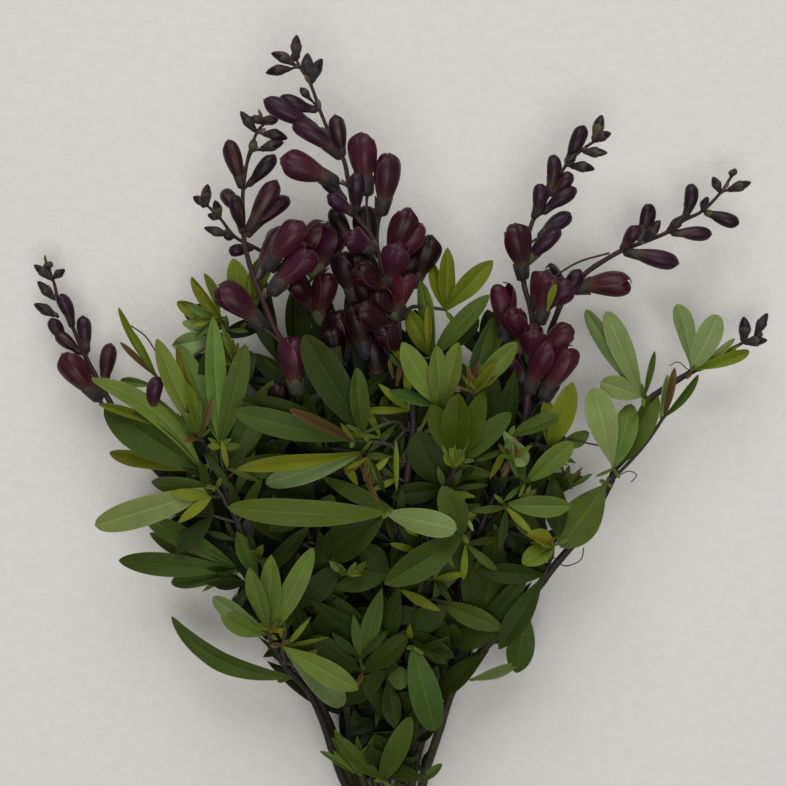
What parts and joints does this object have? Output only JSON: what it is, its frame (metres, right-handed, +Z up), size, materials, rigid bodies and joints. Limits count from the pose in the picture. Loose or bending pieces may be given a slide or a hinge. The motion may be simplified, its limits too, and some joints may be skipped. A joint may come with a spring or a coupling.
{
  "type": "tied bunch of dark false indigo flower stems",
  "caption": "Hand-tied bunch of cut false indigo stems lying on its side, with dark maroon pea-flower spikes above dense trifoliate green leaves.",
  "frame": {"origin": "on the surface that the bunch lies on, under the middle of its outline", "axes": "+Y along the bunch from the cut stem ends to the flower spikes' tips; +Z up from the surface, towards the side that shows; +X to the right seen from above with the spikes pointing up"},
  "size_m": [0.413, 0.5705, 0.1041],
  "materials": {
    "flower": "soft satin petals, dark maroon, buds dusky grey purple",
    "leaf": "smooth satin leaf, mid green to glaucous and yellow green",
    "stem": "smooth satin, dark purple brown above and green below",
    "band": "plain natural rubber"
  },
  "bodies": {
    "root": {"leaves_behind_front": "leaf", "leaves_behind_tall": "leaf", "leaves_broad_upright": "leaf", "leaves_crossing_dark": "leaf", "leaves_dark_round": "leaf", "leaves_far_right_middle": "leaf", "leaves_far_right_pair": "leaf", "leaves_far_right_top": "leaf", "leaves_front_bronze": "leaf", "leaves_front_pale": "leaf", "leaves_front_rosette": "leaf", "leaves_hanging_dark": "leaf", "leaves_hanging_right": "leaf", "leaves_left_behind": "leaf", "leaves_left_dark": "leaf", "leaves_left_low": "leaf", "leaves_left_pale": "leaf", "leaves_left_star": "leaf", "leaves_left_tall": "leaf", "leaves_left_upright": "leaf", "leaves_low_hanging": "leaf", "leaves_low_left_curved": "leaf", "leaves_low_left_drooping": "leaf", "leaves_low_left_rosette": "leaf", "leaves_low_middle": "leaf", "leaves_low_shaded": "leaf", "leaves_lowest": "leaf", "leaves_middle_left": "leaf", "leaves_middle_long": "leaf", "leaves_middle_yellow": "leaf", "leaves_ribbed": "leaf", "leaves_right_bright": "leaf", "leaves_right_dark": "leaf", "leaves_right_level": "leaf", "leaves_right_small": "leaf", "leaves_right_upright": "leaf", "leaves_right_yellow": "leaf", "leaves_under_far_left": "leaf", "leaves_under_far_right": "leaf", "leaves_under_left": "leaf", "leaves_under_middle": "leaf", "leaves_under_right": "leaf", "spike_back_left": "flower", "spike_far_left": "flower", "spike_far_right": "flower", "spike_left": "flower", "spike_low_right": "flower", "spike_right": "flower", "spike_tall": "flower", "stem_back_left": "stem", "stem_far_left": "stem", "stem_far_right": "stem", "stem_front": "stem", "stem_leafy_left": "stem", "stem_left": "stem", "stem_low_left": "stem", "stem_low_right": "stem", "stem_right": "stem", "stem_tall": "stem", "tie": "band"}
  },
  "joints": []
}
